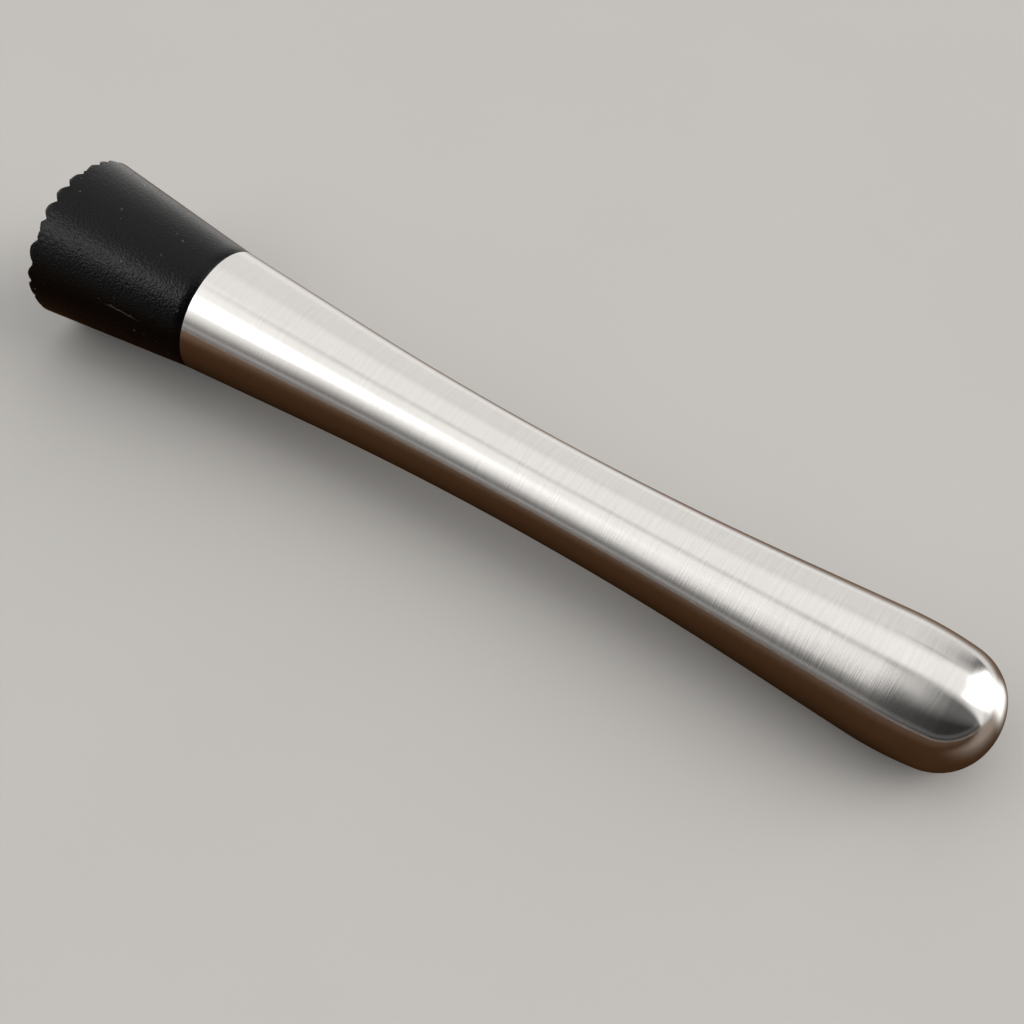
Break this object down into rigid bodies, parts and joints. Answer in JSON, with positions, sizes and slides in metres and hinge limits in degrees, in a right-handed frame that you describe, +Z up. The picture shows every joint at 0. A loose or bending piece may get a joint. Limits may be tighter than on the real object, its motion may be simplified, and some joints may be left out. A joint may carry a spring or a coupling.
{
  "type": "muddler",
  "caption": "Bar muddler lying on its side: waisted brushed steel handle with a domed end, and a flared black plastic head with a toothed face.",
  "frame": {"origin": "on the floor, under the centre of the bounding box, with the muddler lying on its side on the rim of its head and the belly of its handle", "axes": "+X along the muddler from the toothed head to the domed end, +Z up; the muddler's own axis lies in the XZ plane and dips 1.32 degrees towards +X"},
  "size_m": [0.2104, 0.0346, 0.0346],
  "materials": {
    "head_plastic": "satin moulded black plastic with a fine grain",
    "brushed_steel": "stainless steel, finely brushed around the handle",
    "polished_steel": "stainless steel, more highly polished on the dome",
    "adhesive": "cured amber epoxy, hidden in the joint"
  },
  "bodies": {
    "root": {"toothed_head": "head_plastic", "handle_tube": "brushed_steel", "dome_cap": "polished_steel", "front_adhesive_ring": "adhesive", "rear_adhesive_ring": "adhesive"}
  },
  "joints": []
}
